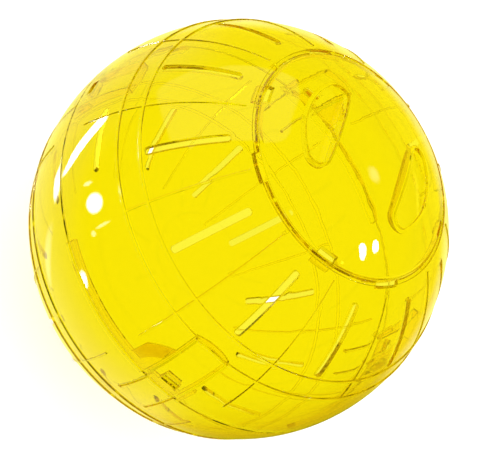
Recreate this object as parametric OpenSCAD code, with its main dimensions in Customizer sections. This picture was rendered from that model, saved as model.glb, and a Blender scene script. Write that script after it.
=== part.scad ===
// Exercise ball for a small pet: two clear half shells that snap together at the middle,
// and a round twist-lock door set flush in the upper half.
// Millimetres. The origin is the centre of the ball, +Z points out through the door,
// and +X passes through the middle of one of the four snap latches.
// Polar angles are measured from +Z, azimuths from +X, anticlockwise seen from the door.

/* [Ball] */
// Outside diameter of the ball
ball_d = 180; // [170:1:200]
// Thickness of every shell wall
wall = 2; // [1.6:0.1:2.6]
// How far below the centre of the ball the two halves meet
seam_drop = 1; // [0:0.25:2]
// Gap between the two meeting edges
seam_gap = 0.2; // [0.1:0.05:0.3]
// Bevel on the outer corner of each meeting edge
seam_bevel = 0.4; // [0.2:0.1:0.8]

/* [Ribs] */
// Height of the ribs that run from pole to pole, above the ball's face
rib_h = 0.4; // [0.2:0.05:0.45]
// Width of a rib that runs from pole to pole, at its foot
rib_w = 1; // [0.8:0.1:1.6]
// Height of a ring rib above the ball's face
ring_h = 0.5; // [0.5:0.05:0.8]
// Width of a ring rib at its foot
ring_w = 1.6; // [1.2:0.1:2.4]
// Width of a rib's sloping side
rib_side = 0.25; // [0.1:0.05:0.35]
// Number of ribs that run from pole to pole
rib_count = 12; // [12:12:24]
// Polar angle of the ring rib nearer the door
upper_ring_polar = 63.1; // [62.5:0.1:64.5]
// Polar angle of the ring rib nearer the seam
lower_ring_polar = 69.8; // [68.5:0.1:71]
// Gap between the end of a long rib and the door's opening
rib_end_gap = 2.5; // [1:0.25:4]
// Distance from the seam at which the ribs beside a latch end
rib_seam_gap = 12.5; // [8:0.5:16]

/* [Ventilation slots] */
// Number of slots in each half
slot_count = 12; // [6:6:12]
// Gap between the slots' inner end and the entry notches of the door's ledge
slot_rim_gap = 8.7; // [7:0.1:12]
// Gap between the slots' outer end and the ring rib nearer the door
slot_ring_gap = 1.2; // [0.8:0.1:4]
// Width of a slot
slot_w = 3; // [2.5:0.1:4]
// Corner radius of a slot
slot_corner = 1.2; // [0.6:0.1:1.2]

/* [Door opening] */
// Inside diameter of the ledge round the opening
opening_d = 98.2; // [90:0.2:99]
// Width of the ledge that the door's lugs turn under
ledge_w = 1.8; // [1.4:0.1:2.4]
// How far the ledge lies below the ball's face
ledge_drop = 0.5; // [0.2:0.1:0.8]
// Angle that one entry notch takes out of the ledge
notch_arc = 14; // [12:0.5:18]
// Length of a stop block, along the track
stop_len = 1.3; // [1:0.1:2.5]

/* [Door] */
// Azimuth of the first lug in the position drawn
lug_azimuth = 6; // [0:0.5:10]
// Angle from a lug to the notch that lets it out
unlock_turn = 38.5; // [30:0.5:45]
// Angle that the door can still turn the other way before it meets the stops
lock_turn = 15; // [5:0.5:18]
// Gap round the edge of the door
door_gap = 0.3; // [0.2:0.05:0.5]
// Width of the bevel round the door's edge
door_bevel_w = 1.1; // [0.6:0.1:1.6]
// Depth of the bevel round the door's edge
door_bevel_h = 0.8; // [0.4:0.1:1.2]
// Thickness of the skirt under the door's edge
skirt_t = 1.4; // [1.2:0.1:2]
// Angle that one gap takes out of the skirt
skirt_gap_arc = 18; // [8:1:18]
// Angle from a lug's middle to the middle of the gap beside it
skirt_gap_turn = 16; // [15:0.5:20]
// Width of a lug, along the track
lug_w = 8.5; // [6:0.5:9]
// Thickness of a lug
lug_t = 1.3; // [1:0.1:2]
// Gap between a lug and the ledge above it
lug_gap = 0.3; // [0.2:0.05:0.5]
// Depth of the window over a lug, in from the door's edge
lug_window = 2.5; // [2:0.1:4]

/* [Finger pockets] */
// Distance of a pocket's straight side from the middle of the door
pocket_chord = 18; // [15:0.5:20]
// Radius of a pocket's curved side, from the middle of the door
pocket_r = 32; // [31:0.5:34]
// Corner radius of a pocket
pocket_corner = 4.5; // [3:0.5:6]
// Depth of a pocket at its straight side
pocket_depth = 5.4; // [5:0.1:9]
// Wall thickness of a pocket
pocket_wall = 1.3; // [1.2:0.1:2]

/* [Snap latches] */
// Inside width of the guide channel in the upper half
channel_w = 14.8; // [12:0.2:17]
// Thickness of the channel's walls
channel_t = 1.2; // [1:0.1:1.6]
// How far the channel's walls stand in from the shell
channel_depth = 3; // [2.4:0.1:4]
// Radius of the arch that closes the channel
arch_r = 20; // [15:1:40]
// Gap between the channel's feet and the seam
channel_foot_gap = 0.6; // [0.4:0.1:1.5]
// Side clearance of the tongue in its channel
tongue_side_gap = 0.7; // [0.4:0.1:1]
// Width of the slits that free the tongue
slit_w = 0.8; // [0.6:0.1:1.2]
// Length of the slits below the seam
slit_len = 21.5; // [12:0.5:26]
// Height of the tongue's shoulders above the seam
shoulder_h = 2.5; // [1.5:0.1:3.5]
// Width of the tongue's nose
nose_w = 7; // [5:0.5:9]
// Height of the nose above the seam
nose_h = 8.4; // [7.5:0.1:10]
// Height of the catch's flat face above the seam
catch_h = 5.2; // [4.5:0.1:6]
// How far the catch stands out from the nose
catch_out = 1.6; // [1:0.1:1.8]
// Height of the catch's flat tip
catch_tip = 0.7; // [0.4:0.1:1.2]
// Clearance of the catch in its window
catch_gap = 0.3; // [0.2:0.05:0.5]

/* [Locating lip] */
// Gap between the lip and the inside of the upper half
lip_gap = 0.3; // [0.2:0.05:0.5]
// Thickness of the lip
lip_t = 1.6; // [1.2:0.1:2]
// Height of the lip above the seam
lip_h = 2; // [1.5:0.25:4]
// How far the lip's foot reaches down inside the lower half
lip_foot = 3; // [2:0.25:5]
// Azimuth at which a lip ends, measured back from its latch
lip_arc = 45; // [30:1:60]
// Width of the guide tab beside a latch
guide_w = 9.4; // [6:0.2:12]
// Height of the guide tab above the seam
guide_h = 23.5; // [12:0.5:26]
// Width of the guide peg on the latch's other side
peg_w = 1.6; // [1.2:0.1:3]
// Height of the guide peg above the seam
peg_h = 9; // [4:0.5:12]
// Gap between the channel's walls and the tab and peg
guide_gap = 0.6; // [0.4:0.1:1]

/* [Hidden] */
$fn = 96;

// How far a cut runs past what it cuts
overrun = 1;
latch_count = 4;
lug_count = 4;
pocket_count = 2;
latch_step = 360 / latch_count;
lug_step = 360 / lug_count;
half_turn = 180;

ball_r = ball_d / 2;
inner_r = ball_r - wall;
// Depth in the wall from which ribs and inside features start, so that they fuse with it
root = wall / 2;
seam_z = -seam_drop;
upper_edge_z = seam_z + seam_gap / 2;
lower_edge_z = seam_z - seam_gap / 2;

opening_r = opening_d / 2;
notch_r = opening_r + ledge_w;
door_r = opening_r - door_gap;
lug_r = notch_r - door_gap;
lug_arc = lug_w / opening_r * half_turn / PI;
stop_arc = stop_len / opening_r * half_turn / PI;
lug_clear_arc = door_gap / opening_r * half_turn / PI;
stop_azimuth = lug_azimuth - lock_turn - (lug_arc + stop_arc) / 2 - lug_clear_arc;
lug_top_r = inner_r - lug_gap;
lug_bottom_r = lug_top_r - lug_t;
skirt_bottom_z = height_at(lug_bottom_r, door_r);

pocket_floor_z = height_at(ball_r, pocket_chord) - pocket_depth;
pocket_corner_r = pocket_r - pocket_corner;
pocket_corner_x = pocket_chord + pocket_corner;
pocket_corner_y = height_at(pocket_corner_r, pocket_corner_x);

rib_from_polar = asin((notch_r + rib_end_gap) / ball_r);
rib_to_polar = acos((seam_z + rib_seam_gap) / ball_r);
ring_half_arc = ring_w / ball_r * half_turn / PI / 2;
rib_step = 360 / rib_count;
rib_azimuth = rib_step / 2;
slot_step = 360 / slot_count;
slot_from_polar = asin(notch_r / ball_r) + slot_rim_gap / ball_r * half_turn / PI;
slot_to_polar = upper_ring_polar - ring_half_arc - slot_ring_gap / ball_r * half_turn / PI;
slot_polar = (slot_from_polar + slot_to_polar) / 2;
slot_len = 2 * ball_r * sin(slot_to_polar - slot_polar);

// Polar angle of the middle of a latch's channel
latch_polar = (lower_ring_polar + 90) / 2;
arch_crown = ball_r * sin(latch_polar - lower_ring_polar);
channel_reach = ball_r * sin(90 - latch_polar) + wall;
channel_inner_r = inner_r - channel_depth;

lip_outer_r = inner_r - lip_gap;
lip_inner_r = lip_outer_r - lip_t;
tongue_w = channel_w - 2 * tongue_side_gap;
guide_y = channel_w / 2 + channel_t + guide_gap;
catch_z = seam_z + catch_h;
nose_top_z = seam_z + nose_h;
foot_z = lower_edge_z - lip_foot;

// Height on a sphere of radius r at the distance d from its axis
function height_at(r, d) = sqrt(r * r - d * d);

// Ring between two circles about the ball's centre, cut by an outline
module ring_profile(outer_r, inner_r) {
    intersection() {
        difference() {
            circle(outer_r);
            circle(inner_r);
        }
        children();
    }
}

// Everything outside the distance r from the axis and between two heights
module beyond(r, low_z, high_z) {
    translate([r, low_z]) square([ball_d - r, high_z - low_z]);
}

// Profile of a rib with sloping sides, rooted in the wall; X points out of the ball
module rib_profile(width, height) {
    foot = width / 2 + rib_side * root / height;
    top = width / 2 - rib_side;
    polygon([
        [ball_r - root, -foot],
        [ball_r + height, -top],
        [ball_r + height, top],
        [ball_r - root, foot]
    ]);
}

// Full ring rib at one polar angle
module ring_rib_profile(polar) {
    rotate(90 - polar) rib_profile(ring_w, ring_h);
}

// One raised rib along a meridian, standing in the XZ plane
module meridian_rib(from_polar, to_polar) {
    rotate([90, to_polar - 90, 0])
        rotate_extrude(angle = to_polar - from_polar) rib_profile(rib_w, rib_h);
}

// Ribs of one half: the ones beside a latch run on towards the seam
module half_ribs() {
    for (i = [0 : rib_count - 1]) {
        azimuth = rib_azimuth + i * rib_step;
        off_latch = abs((azimuth + latch_step / 2) % latch_step - latch_step / 2);
        beside_latch = off_latch < latch_step / 4;
        rotate([0, 0, azimuth])
            meridian_rib(rib_from_polar, beside_latch ? rib_to_polar : lower_ring_polar);
    }
}

// Outline of a ventilation slot, lying along X
module slot_outline() {
    square([slot_len - 2 * slot_corner, slot_w], center = true);
    square([slot_len, slot_w - 2 * slot_corner], center = true);
    for (side_x = [-1, 1], side_y = [-1, 1])
        translate([side_x * (slot_len / 2 - slot_corner), side_y * (slot_w / 2 - slot_corner)])
            circle(slot_corner);
}

// The cuts for one half's ventilation slots
module half_slots() {
    low = height_at(inner_r, slot_len / 2) - overrun;
    for (i = [0 : slot_count - 1])
        rotate([0, slot_polar, i * slot_step])
            translate([0, 0, low])
                linear_extrude(ball_r + ring_h + overrun - low) slot_outline();
}

// A wedge of a turned profile, centred on an azimuth
module turned(azimuth, arc) {
    rotate([0, 0, azimuth - arc / 2]) rotate_extrude(angle = arc) children();
}

// A block that crosses the wall at azimuth zero, from one side and height to another
module wall_block(y, z, from_x = channel_inner_r) {
    depth = ball_r + ring_h + overrun - from_x;
    translate([from_x, y[0], z[0]]) cube([depth, y[1] - y[0], z[1] - z[0]]);
}

// One copy at each latch
module at_latches() {
    for (i = [0 : latch_count - 1]) rotate([0, 0, i * latch_step]) children();
}

// Outline of the guide channel, with X towards the seam; grow moves its edge out
module channel_outline(grow) {
    width = channel_w + 2 * grow;
    crown = arch_crown - channel_t + grow;
    intersection() {
        translate([-crown, -width / 2]) square([crown + channel_reach, width]);
        union() {
            translate([arch_r - crown, 0]) circle(arch_r);
            translate([arch_r - crown, -width / 2]) square([ball_r, width]);
        }
    }
}

// Walls of one guide channel, before they are trimmed to the shell
module channel_walls() {
    low = channel_inner_r * cos(latch_polar - lower_ring_polar) - channel_depth;
    rotate([0, latch_polar, 0])
        translate([0, 0, low])
            linear_extrude(ball_r - low)
                difference() {
                    channel_outline(channel_t);
                    channel_outline(0);
                }
}

// The four guide channels, standing in from the upper half's wall
module channels() {
    intersection() {
        at_latches() channel_walls();
        difference() {
            sphere(ball_r - root);
            sphere(channel_inner_r);
        }
        translate([0, 0, upper_edge_z + channel_foot_gap]) cylinder(h = ball_r, r = ball_r);
    }
}

// The window in the upper half's wall that a catch snaps into
module catch_window() {
    side = nose_w / 2 + catch_gap;
    wall_block([-side, side], [catch_z - catch_gap, nose_top_z + catch_gap]);
}

// Stop blocks that hang under the ledge at the locked end of the lugs' track
module stops() {
    for (i = [0 : lug_count - 1])
        turned(stop_azimuth + i * lug_step, stop_arc)
            ring_profile(ball_r - root - ledge_drop, lug_bottom_r)
                translate([opening_r, 0]) square([ledge_w, ball_r]);
}

// Upper half's wall, ring ribs and door ledge, as one turned shape
module door_shell_body() {
    rotate_extrude()
        difference() {
            union() {
                ring_profile(ball_r, inner_r) beyond(opening_r, upper_edge_z, ball_r);
                ring_rib_profile(upper_ring_polar);
                ring_rib_profile(lower_ring_polar);
            }
            difference() {
                square([notch_r, ball_r]);
                circle(ball_r - ledge_drop);
            }
            bevel_cut(upper_edge_z, 1);
        }
}

// Corner cut off a meeting edge; side is 1 above the seam and -1 below it
module bevel_cut(edge_z, side) {
    rim_r = height_at(ball_r, edge_z);
    polygon([
        [rim_r - seam_bevel, edge_z],
        [ball_d, edge_z],
        [ball_d, edge_z + side * seam_bevel],
        [rim_r, edge_z + side * seam_bevel]
    ]);
}

module door_shell() {
    color([1, 0.9, 0.1, 0.5])
    difference() {
        union() {
            door_shell_body();
            half_ribs();
            channels();
            stops();
        }
        half_slots();
        at_latches() catch_window();
        for (i = [0 : lug_count - 1])
            turned(lug_azimuth + unlock_turn + i * lug_step, notch_arc)
                translate([opening_r - overrun, 0]) square([ledge_w + overrun, ball_r]);
    }
}

// Lower half's wall and ring ribs, as one turned shape
module rear_shell_body() {
    rotate_extrude()
        difference() {
            union() {
                ring_profile(ball_r, inner_r) beyond(0, -ball_r, lower_edge_z);
                ring_rib_profile(half_turn - upper_ring_polar);
                ring_rib_profile(half_turn - lower_ring_polar);
            }
            bevel_cut(lower_edge_z, -1);
        }
}

// Profile of the layer that stands up inside the upper half, with the foot that joins it
// to the lower half's wall
module standing_profile() {
    difference() {
        intersection() {
            circle(ball_r - root);
            beyond(0, foot_z, seam_z + guide_h);
        }
        circle(lip_inner_r);
        difference() {
            beyond(0, lower_edge_z, ball_r);
            circle(lip_outer_r);
        }
    }
}

// The blocks that cut the standing layer into tongue, lip, guide tab and peg at one latch
module latch_blocks() {
    lip_end = asin((guide_y + guide_w / 2) / lip_outer_r);
    wall_block([-tongue_w / 2, tongue_w / 2], [foot_z, seam_z + shoulder_h]);
    wall_block([-nose_w / 2, nose_w / 2], [foot_z, nose_top_z]);
    wall_block([-guide_y - guide_w, -guide_y], [foot_z, seam_z + guide_h]);
    wall_block([guide_y, guide_y + peg_w], [foot_z, seam_z + peg_h]);
    turned(-(lip_arc + lip_end) / 2, lip_arc - lip_end)
        translate([channel_inner_r, foot_z])
            square([ball_r - channel_inner_r, seam_z + lip_h - foot_z]);
}

// Everything that stands up inside the upper half, but for the catches
module standing_parts() {
    intersection() {
        rotate_extrude() standing_profile();
        at_latches() latch_blocks();
    }
}

// The catch on a tongue's nose: flat below, sloped above
module catch() {
    face_r = height_at(lip_outer_r, nose_top_z);
    root_r = face_r - lip_t / 2;
    translate([0, nose_w / 2, 0])
        rotate([90, 0, 0])
            linear_extrude(nose_w)
                polygon([
                    [root_r, catch_z],
                    [face_r + catch_out, catch_z],
                    [face_r + catch_out, catch_z + catch_tip],
                    [face_r, nose_top_z],
                    [root_r, nose_top_z]
                ]);
}

// The two slits that free a tongue, with round lower ends
module tongue_slits() {
    low_z = lower_edge_z - slit_len;
    from_x = height_at(inner_r, norm([low_z - slit_w, tongue_w / 2 + 2 * slit_w])) - overrun;
    for (side = [-1, 1]) {
        middle = side * (tongue_w + slit_w) / 2;
        wall_block([middle - slit_w / 2, middle + slit_w / 2], [low_z, overrun], from_x);
        translate([from_x, middle, low_z])
            rotate([0, 90, 0]) cylinder(h = ball_r - from_x, r = slit_w);
    }
}

module rear_shell() {
    color([1, 0.88, 0.08, 0.5])
    difference() {
        union() {
            rear_shell_body();
            mirror([0, 0, 1]) half_ribs();
            standing_parts();
            at_latches() catch();
        }
        mirror([0, 0, 1]) half_slots();
        at_latches() tongue_slits();
    }
}

// Outline of a finger pocket; grow moves its edge out
module pocket_outline(grow) {
    far = ball_r / pocket_corner_r;
    chord = pocket_chord - grow;
    x = pocket_corner_x;
    y = pocket_corner_y;
    for (side = [-1, 1]) translate([x, side * y]) circle(pocket_corner + grow);
    intersection() {
        circle(pocket_r + grow);
        polygon([[chord, -y], [x, -y], [far * x, -far * y], [far * x, far * y], [x, y], [chord, y]]);
    }
}

// One copy at each finger pocket
module at_pockets() {
    for (i = [0 : pocket_count - 1])
        rotate([0, 0, lug_azimuth + i * 360 / pocket_count]) children();
}

// Door's cap with its bevelled edge, and its skirt, as one turned shape
module door_body() {
    edge_z = height_at(ball_r, door_r) - door_bevel_h;
    bevel_z = height_at(ball_r, door_r - door_bevel_w);
    rotate_extrude() {
        ring_profile(ball_r, inner_r)
            polygon([[0, 0], [door_r, 0], [door_r, edge_z], [door_r - door_bevel_w, bevel_z],
                [door_r - door_bevel_w, ball_r], [0, ball_r]]);
        ring_profile(ball_r - root, skirt_bottom_z)
            translate([door_r - skirt_t, skirt_bottom_z])
                square([skirt_t, edge_z - skirt_bottom_z]);
    }
}

// One lug, reaching out from the skirt under the ledge
module lug() {
    ring_profile(lug_top_r, lug_bottom_r)
        translate([door_r - skirt_t, 0]) square([lug_r - door_r + skirt_t, ball_r]);
}

// The opening through the door's edge over a lug
module lug_window_cut() {
    difference() {
        translate([door_r - lug_window, 0]) square([lug_window + overrun, ball_r + overrun]);
        circle(lug_top_r);
    }
}

// The gap in the skirt beside a lug
module skirt_gap_cut() {
    low_z = skirt_bottom_z - overrun;
    translate([door_r - skirt_t - overrun, low_z])
        square([skirt_t + 2 * overrun, height_at(inner_r, door_r) - low_z]);
}

module door() {
    color([1, 0.92, 0.15, 0.5])
    difference() {
        union() {
            door_body();
            for (i = [0 : lug_count - 1]) turned(lug_azimuth + i * lug_step, lug_arc) lug();
            intersection() {
                at_pockets()
                    translate([0, 0, pocket_floor_z - pocket_wall])
                        linear_extrude(ball_r - pocket_floor_z) pocket_outline(pocket_wall);
                sphere(ball_r - root);
            }
        }
        at_pockets()
            translate([0, 0, pocket_floor_z]) linear_extrude(ball_r) pocket_outline(0);
        for (i = [0 : lug_count - 1]) {
            turned(lug_azimuth + i * lug_step, lug_arc) lug_window_cut();
            turned(lug_azimuth + skirt_gap_turn + i * lug_step, skirt_gap_arc) skirt_gap_cut();
        }
    }
}

door();
door_shell();
rear_shell();
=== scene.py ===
"""Looks of a clear yellow exercise ball: its plastic, the light on it and the camera."""
import math

import bpy
from mathutils import Matrix, Vector


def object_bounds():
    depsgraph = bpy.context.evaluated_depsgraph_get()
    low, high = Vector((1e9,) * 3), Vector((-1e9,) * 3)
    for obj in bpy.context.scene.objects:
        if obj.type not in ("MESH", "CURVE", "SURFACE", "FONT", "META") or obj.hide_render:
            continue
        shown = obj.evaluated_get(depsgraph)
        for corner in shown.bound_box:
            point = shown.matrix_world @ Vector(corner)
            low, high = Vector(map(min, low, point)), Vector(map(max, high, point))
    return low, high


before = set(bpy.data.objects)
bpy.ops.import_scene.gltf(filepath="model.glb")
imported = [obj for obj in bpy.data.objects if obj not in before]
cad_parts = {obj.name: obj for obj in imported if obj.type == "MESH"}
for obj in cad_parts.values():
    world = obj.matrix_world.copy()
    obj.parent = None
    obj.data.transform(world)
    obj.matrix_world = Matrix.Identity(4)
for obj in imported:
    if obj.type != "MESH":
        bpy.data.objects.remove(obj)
cad_low, cad_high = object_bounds()
centre = (cad_low + cad_high) / 2
ball_radius = (cad_high.z - cad_low.z) / 2

# Camera, as the photograph was taken: angles in degrees, distance in radii of the ball
IMAGE_WIDTH = 478
CAMERA_AZIMUTH = 64.0
CAMERA_ELEVATION = 45.3
CAMERA_ROLL = 60.6
CAMERA_DISTANCE = 7.987
FOCAL_LENGTH_PX = 1664
BALL_ABOVE_MIDDLE_PX = 3.0
SENSOR_WIDTH = 36.0
NEAREST_SEEN = 0.01
FARTHEST_SEEN = 100.0

# Plastic: what a millimetre of it takes out of red, green and blue, and how its edges round
MM_PER_METRE = 1000.0
ABSORPTION_PER_MM = (0.0010, 0.0038, 0.50)
WALL_TINT = (1.0, 0.915, 0.12, 1.0)
PLASTIC_IOR = 1.5
EDGE_RADIUS = 0.0003
BEVEL_SAMPLES = 4
# Moulding waves of the walls and grain of the pocket floors: number to the metre, height
SHELL_WAVES = (22.0, 0.00008)
DOOR_WAVES = (125.0, 0.00005)
WAVE_DETAIL = 1.0
POCKET_GRAIN = (400.0, 0.000016)
GRAIN_DETAIL = 2.0
FLAT_FACE = (0.9990, 0.9999)
# Smudges in the polish: number to the metre, how broken up, where they start and end
SMUDGE_SCALE = 90.0
SMUDGE_DETAIL = 4.0
SMUDGE_BREAKUP = 0.6
SMUDGE_EDGE = (0.35, 0.75)
SMUDGE_ROUGHNESS = 0.04

# Stage
FLOOR_RADIUS = 4.0
FLOOR_SIDES = 128
FLOOR_DROP = 0.0005
FLOOR_COLOUR = (0.88, 0.88, 0.87, 1.0)
FLOOR_LIFT = 0.55
LIGHT_BOUNCES = 40
WHITE = (1.0, 1.0, 1.0, 1.0)
# White screen seen through the plastic: shaded in a wide ring round the ball's far side
BACK_LIGHT = 1.0
SCREEN_EDGE = (-0.92, -0.62)
SCREEN_END = (-0.55, -0.33)
SCREEN_SHADE = 0.30
# Light from the table under the ball, coloured by the plastic above it
TABLE_TOWARD = (0.24, -0.97, 0.0)
TABLE_EDGE = (0.13, 0.33)
TABLE_AMBER = (0.86, 0.65, 0.33, 1.0)
# Glow of the studio's walls in the plastic's surface, paler at the ball's edge and on the left
WALL_GLOW = (1.0, 0.86, 0.03, 1.0)
PALE_GLOW = (1.0, 0.92, 0.36, 1.0)
GLOW_LEVEL = 1.22
GLOW_EDGE = (-0.7, 0.1)
PALE_EDGE = (-0.90, -0.75)
LEFT_EDGE = (0.0, 0.4)
TABLE_SPREAD = (0.75, 0.98)
TABLE_SHADE = 0.75
# Soft boxes: direction and long side in the camera's axes, half sizes, squareness, softness, level
SOFT_BOXES = [
    ((-0.979, 0.179, 0.099), (0.18, 0.98, -0.01), (0.064, 0.094), 2.0, 0.6, 34.0),
    ((-0.818, 0.465, -0.352), (0.32, 0.85, 0.41), (0.200, 0.052), 2.0, 0.4, 34.0),
    ((-0.822, 0.219, -0.526), (0.48, 0.77, -0.43), (0.095, 0.037), 2.0, 0.9, 14.0),
    ((-0.956, 0.290, -0.047), (0.05, 0.32, 0.95), (0.047, 0.014), 2.0, 1.0, 7.0),
    ((-0.973, 0.036, 0.229), (0.23, 0.32, 0.92), (0.077, 0.012), 2.0, 1.0, 6.0),
    ((-0.993, -0.029, 0.116), (-0.02, 1.0, 0.05), (0.018, 0.030), 2.0, 1.0, 6.0),
    ((-0.880, 0.295, 0.373), (0.02, 0.81, -0.58), (0.060, 0.017), 2.0, 1.0, 9.0),
    ((-0.948, -0.305, -0.094), (-0.31, 0.95, -0.01), (0.055, 0.030), 2.0, 0.6, 20.0),
    ((-0.793, -0.097, -0.601), (-0.51, 0.65, 0.56), (0.155, 0.050), 2.0, 1.0, 1.2),
    ((0.923, -0.168, 0.347), (0.0, 1.0, 0.3), (0.067, 0.044), 2.0, 0.3, 34.0),
    ((0.970, -0.117, 0.214), (0.0, 1.0, 0.3), (0.049, 0.036), 2.0, 0.3, 34.0),
    ((0.920, 0.374, 0.113), (-0.24, 0.76, -0.60), (0.050, 0.058), 2.0, 1.0, 2.4),
    ((-0.080, 0.954, 0.300), (1.0, 0.0, 0.0), (0.545, 0.470), 8.0, 0.3, 0.45),
]


class Socket:
    """A shader socket that adds Math nodes when it is used in an expression."""

    def __init__(self, tree, socket):
        self.tree, self.socket = tree, socket

    def math(self, operation, *others):
        made = self.tree.nodes.new("ShaderNodeMath")
        made.operation = operation
        for slot, value in zip(made.inputs, (self, *others)):
            fill(self.tree, slot, value)
        return Socket(self.tree, made.outputs[0])

    def __add__(self, other):
        return self.math("ADD", other)

    def __radd__(self, other):
        return self.math("ADD", other)

    def __mul__(self, other):
        return self.math("MULTIPLY", other)

    def __rmul__(self, other):
        return self.math("MULTIPLY", other)

    def __sub__(self, other):
        return self.math("SUBTRACT", other)

    def __rsub__(self, other):
        return (self * -1.0).math("ADD", other)


def fill(tree, slot, value):
    """Links a socket to a node's slot, or writes a plain value there."""
    if isinstance(value, Socket):
        tree.links.new(value.socket, slot)
    else:
        slot.default_value = value


class Shader:
    """A material's or world's node tree, and the one way its nodes are made."""

    def __init__(self, owner):
        owner.use_nodes = True
        self.tree = owner.node_tree
        self.tree.nodes.clear()

    def make(self, kind, **settings):
        made = self.tree.nodes.new("ShaderNode" + kind)
        for name, value in settings.items():
            setattr(made, name, value)
        return made

    def node(self, kind, settings=None, **values):
        """A node with its settings, then the values or links of its slots by name."""
        made = self.make(kind, **(settings or {}))
        for name, value in values.items():
            wanted = name.replace("_", " ").lower()
            slot = next(s for s in made.inputs if s.enabled and s.name.lower() == wanted)
            fill(self.tree, slot, value)
        return Socket(self.tree, made.outputs[0]) if made.outputs else made

    def read(self, kind, output):
        """One output of a node that has no inputs to fill."""
        return Socket(self.tree, self.make(kind).outputs[output])

    def join(self, kind, first, second, factor=None):
        """Adds or mixes two shaders."""
        made = self.make(kind)
        fill(self.tree, made.inputs[-2], first)
        fill(self.tree, made.inputs[-1], second)
        if factor is not None:
            fill(self.tree, made.inputs[0], factor)
        return Socket(self.tree, made.outputs[0])

    def mix_colours(self, first, second, factor):
        made = self.make("Mix", data_type="RGBA")
        slots = [s for s in made.inputs if s.enabled]
        for slot, value in zip(slots, (factor, first, second)):
            fill(self.tree, slot, value)
        return Socket(self.tree, [s for s in made.outputs if s.enabled][0])

    def dot_product(self, vector, axis):
        made = self.make("VectorMath", operation="DOT_PRODUCT")
        fill(self.tree, made.inputs[0], vector)
        fill(self.tree, made.inputs[1], axis)
        return Socket(self.tree, made.outputs["Value"])

    def soft_step(self, value, low, high, start=0.0, end=1.0):
        return self.node("MapRange", {"interpolation_type": "SMOOTHSTEP"}, Value=value,
                         From_Min=low, From_Max=high, To_Min=start, To_Max=end)

    def ray_kinds(self):
        """Masks for the camera's own rays, and for rays that a surface bent or mirrored last."""
        path = self.make("LightPath")
        seen, bent, glossy = (Socket(self.tree, path.outputs[f"Is {kind} Ray"])
                              for kind in ("Camera", "Transmission", "Glossy"))
        return seen, bent, glossy * (1.0 - bent)


def camera_axes():
    """Right, up and back axes of the camera, in the ball's frame."""
    azimuth, elevation, roll = (math.radians(a) for a in
                                (CAMERA_AZIMUTH, CAMERA_ELEVATION, CAMERA_ROLL))
    back = Vector((math.cos(azimuth) * math.cos(elevation),
                   math.sin(azimuth) * math.cos(elevation), math.sin(elevation)))
    level = Vector((0.0, 0.0, 1.0)).cross(back).normalized()
    upright = back.cross(level)
    right = level * math.cos(roll) + upright * math.sin(roll)
    return right, back.cross(right), back


def in_camera_axes(toward):
    """The direction that goes so far to the camera's right, up and back, at unit length."""
    axes = camera_axes()
    return sum((axis * part for axis, part in zip(axes, toward)), Vector()).normalized()


def make_camera():
    right, up, back = camera_axes()
    data = bpy.data.cameras.new("camera")
    data.sensor_width = SENSOR_WIDTH
    data.lens = FOCAL_LENGTH_PX / IMAGE_WIDTH * SENSOR_WIDTH
    data.shift_y = -BALL_ABOVE_MIDDLE_PX / IMAGE_WIDTH
    data.clip_start, data.clip_end = NEAREST_SEEN, FARTHEST_SEEN
    camera = bpy.data.objects.new("camera", data)
    bpy.context.scene.collection.objects.link(camera)
    turn = Matrix((right, up, back)).transposed().to_4x4()
    turn.translation = centre + back * CAMERA_DISTANCE * ball_radius
    camera.matrix_world = turn
    bpy.context.scene.camera = camera


def floor_material():
    """Pale floor that keeps the ball's shadow, and lets bent and mirrored rays go by."""
    material = bpy.data.materials.new("pale_floor")
    shader = Shader(material)
    seen, bent, mirrored = shader.ray_kinds()
    diffuse = shader.node("BsdfDiffuse", Color=FLOOR_COLOUR)
    lift = shader.node("Emission", Color=WHITE, Strength=seen * FLOOR_LIFT)
    clear = shader.node("BsdfTransparent")
    lit = shader.join("AddShader", diffuse, lift)
    shader.node("OutputMaterial", Surface=shader.join("MixShader", lit, clear, bent + mirrored))
    return material


def make_floor():
    bpy.ops.mesh.primitive_circle_add(
        vertices=FLOOR_SIDES, radius=FLOOR_RADIUS, fill_type="NGON",
        location=(0.0, 0.0, cad_low.z - FLOOR_DROP))
    floor = bpy.context.object
    floor.name = "floor"
    floor.data.materials.append(floor_material())


def soft_box(shader, direction, toward, long_way, half_size, power, softness):
    """Mask of a soft box in the studio: its direction and long side in the camera's axes."""
    axis = in_camera_axes(toward)
    along = in_camera_axes(long_way)
    along = (along - axis * along.dot(axis)).normalized()
    ahead = shader.dot_product(direction, axis)
    spread = 0.0
    for side, half in zip((along, axis.cross(along)), half_size):
        offset = shader.dot_product(direction, side).math("DIVIDE", ahead * half)
        spread = offset.math("ABSOLUTE").math("POWER", power) + spread
    inside = shader.soft_step(spread, 1.0 - softness, 1.0 + softness, 1.0, 0.0)
    return inside * ahead.math("GREATER_THAN", 0.0)


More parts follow.
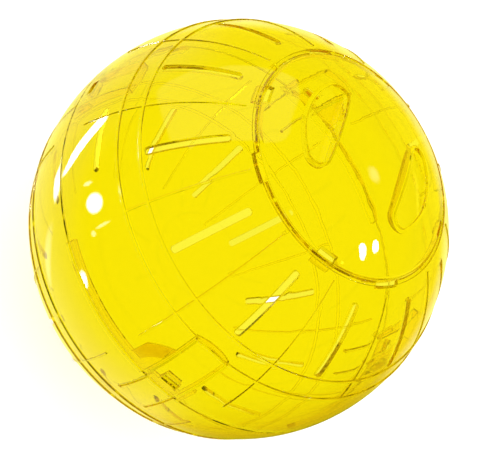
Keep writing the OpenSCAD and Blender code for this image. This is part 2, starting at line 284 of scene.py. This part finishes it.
def make_world():
    """White all round; the plastic bends and mirrors a studio with a table and soft boxes."""
    world = bpy.data.worlds.new("studio")
    bpy.context.scene.world = world
    shader = Shader(world)
    direction = shader.read("TexCoord", "Generated")
    _seen, bent, mirrored = shader.ray_kinds()
    facing = shader.dot_product(direction, in_camera_axes((0.0, 0.0, 1.0)))
    leftward = shader.dot_product(direction, in_camera_axes((-1.0, 0.0, 0.0)))
    lower = shader.dot_product(direction, in_camera_axes(TABLE_TOWARD))

    far_side = shader.soft_step(facing, *SCREEN_END, 1.0, 0.0)
    shade = far_side * shader.soft_step(facing, *SCREEN_EDGE)
    amber = far_side * shader.soft_step(lower, *TABLE_EDGE)
    plain = shader.node("Background", Color=WHITE, Strength=1.0 - mirrored - bent)
    through = shader.node(
        "Background", Color=shader.mix_colours(WHITE, TABLE_AMBER, amber),
        Strength=bent * (BACK_LIGHT - shade * SCREEN_SHADE))

    behind = shader.soft_step(facing, *GLOW_EDGE, 1.0, 0.0)
    sideways = (1.0 - facing * facing).math("SQRT")
    table = shader.soft_step(lower.math("DIVIDE", sideways), *TABLE_SPREAD)
    rim = shader.soft_step(facing, *PALE_EDGE, 1.0, 0.0)
    pale = shader.soft_step(leftward, *LEFT_EDGE).math("MAXIMUM", rim) * (1.0 - table)
    glow = shader.node(
        "Background", Color=shader.mix_colours(WALL_GLOW, PALE_GLOW, pale),
        Strength=behind * mirrored * (GLOW_LEVEL - table * TABLE_SHADE * GLOW_LEVEL))

    lamps = 0.0
    for *box, level in SOFT_BOXES:
        lamps = soft_box(shader, direction, *box) * level + lamps
    boxes = shader.node("Background", Color=WHITE, Strength=lamps * mirrored)

    light = plain
    for part in (through, boxes, glow):
        light = shader.join("AddShader", light, part)
    shader.node("OutputWorld", Surface=light)


def pocket_floors(shader):
    """Mask of the faces that lie square to the ball's axis: the floors of the finger pockets."""
    outward = shader.read("NewGeometry", "True Normal")
    upright = shader.dot_product(outward, (0.0, 0.0, 1.0)).math("ABSOLUTE")
    return shader.soft_step(upright, *FLAT_FACE)


def clear_plastic(name, waves):
    """Polished clear plastic: deeper in colour where the wall is long to look through."""
    material = bpy.data.materials.new(name)
    shader = Shader(material)
    place = shader.read("TexCoord", "Object")
    wave_scale, wave_height = waves
    grain_scale, grain_height = POCKET_GRAIN
    wave = shader.node("TexNoise", Vector=place, Scale=wave_scale, Detail=WAVE_DETAIL)
    grain = shader.node("TexNoise", Vector=place, Scale=grain_scale, Detail=GRAIN_DETAIL)
    smudge = shader.node("TexNoise", Vector=place, Scale=SMUDGE_SCALE, Detail=SMUDGE_DETAIL,
                         Roughness=SMUDGE_BREAKUP)
    gloss = shader.node("MapRange", Value=smudge, From_Min=SMUDGE_EDGE[0],
                        From_Max=SMUDGE_EDGE[1], To_Min=0.0, To_Max=SMUDGE_ROUGHNESS)
    height = wave * wave_height + grain * pocket_floors(shader) * grain_height
    rounded = shader.node("Bevel", {"samples": BEVEL_SAMPLES}, Radius=EDGE_RADIUS)
    bump = shader.node("Bump", Height=height, Strength=1.0, Distance=1.0, Normal=rounded)
    surface = shader.node(
        "BsdfPrincipled", Base_Color=WALL_TINT, Roughness=gloss, IOR=PLASTIC_IOR,
        Transmission_Weight=1.0, Normal=bump)
    density = max(ABSORPTION_PER_MM)
    kept = [1.0 - taken / density for taken in ABSORPTION_PER_MM]
    volume = shader.node("VolumeAbsorption", Color=(*kept, 1.0), Density=density * MM_PER_METRE)
    shader.node("OutputMaterial", Surface=surface, Volume=volume)
    return material


def dress(node, material):
    """Puts a finish on a piece of the frame that keeps its shape."""
    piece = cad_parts[node]
    piece.data.materials.clear()
    piece.data.materials.append(material)


def set_rendering():
    """Plain colours, and enough bounces for light that runs along inside a wall."""
    scene = bpy.context.scene
    scene.view_settings.view_transform = "Standard"
    scene.cycles.max_bounces = LIGHT_BOUNCES
    scene.cycles.glossy_bounces = LIGHT_BOUNCES
    scene.cycles.transmission_bounces = LIGHT_BOUNCES


make_camera()
make_floor()
make_world()
set_rendering()
shell_plastic = clear_plastic("clear_shell_plastic", SHELL_WAVES)
door_plastic = clear_plastic("clear_door_plastic", DOOR_WAVES)
dress("door_shell", shell_plastic)
dress("rear_shell", shell_plastic)
dress("door", door_plastic)
